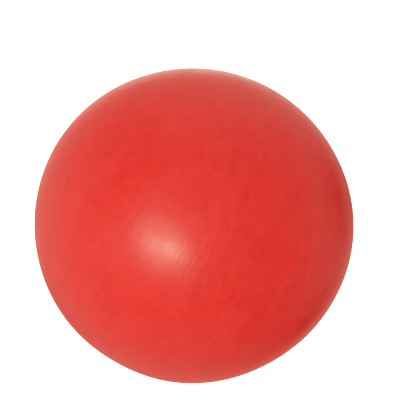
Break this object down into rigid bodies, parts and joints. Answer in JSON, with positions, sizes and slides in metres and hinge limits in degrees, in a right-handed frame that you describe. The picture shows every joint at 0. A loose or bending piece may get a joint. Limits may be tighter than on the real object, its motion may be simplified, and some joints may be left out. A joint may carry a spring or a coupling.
{
  "type": "giant latex balloon",
  "caption": "Giant round red latex balloon, gas-filled, with a gathered neck closed by a cable tie and a rolled bead round the flared mouth.",
  "frame": {"origin": "centre of the inflated ball, at the mount air", "axes": "+Z from the neck up to the crown, along the balloon's axis of revolution; the head of the cable tie is on the -Y side"},
  "size_m": [2.4384, 2.4384, 2.6495],
  "materials": {
    "envelope_latex": "satin stretched latex with a faint powdery bloom",
    "neck_latex": "satin unstretched latex, deeper red where it is thick",
    "rim_latex": "smooth rolled latex",
    "tie_nylon": "natural translucent nylon, satin"
  },
  "bodies": {
    "root": {"envelope": "envelope_latex", "neck": "neck_latex", "rim_bead": "rim_latex", "cable_tie": "tie_nylon"}
  },
  "joints": []
}
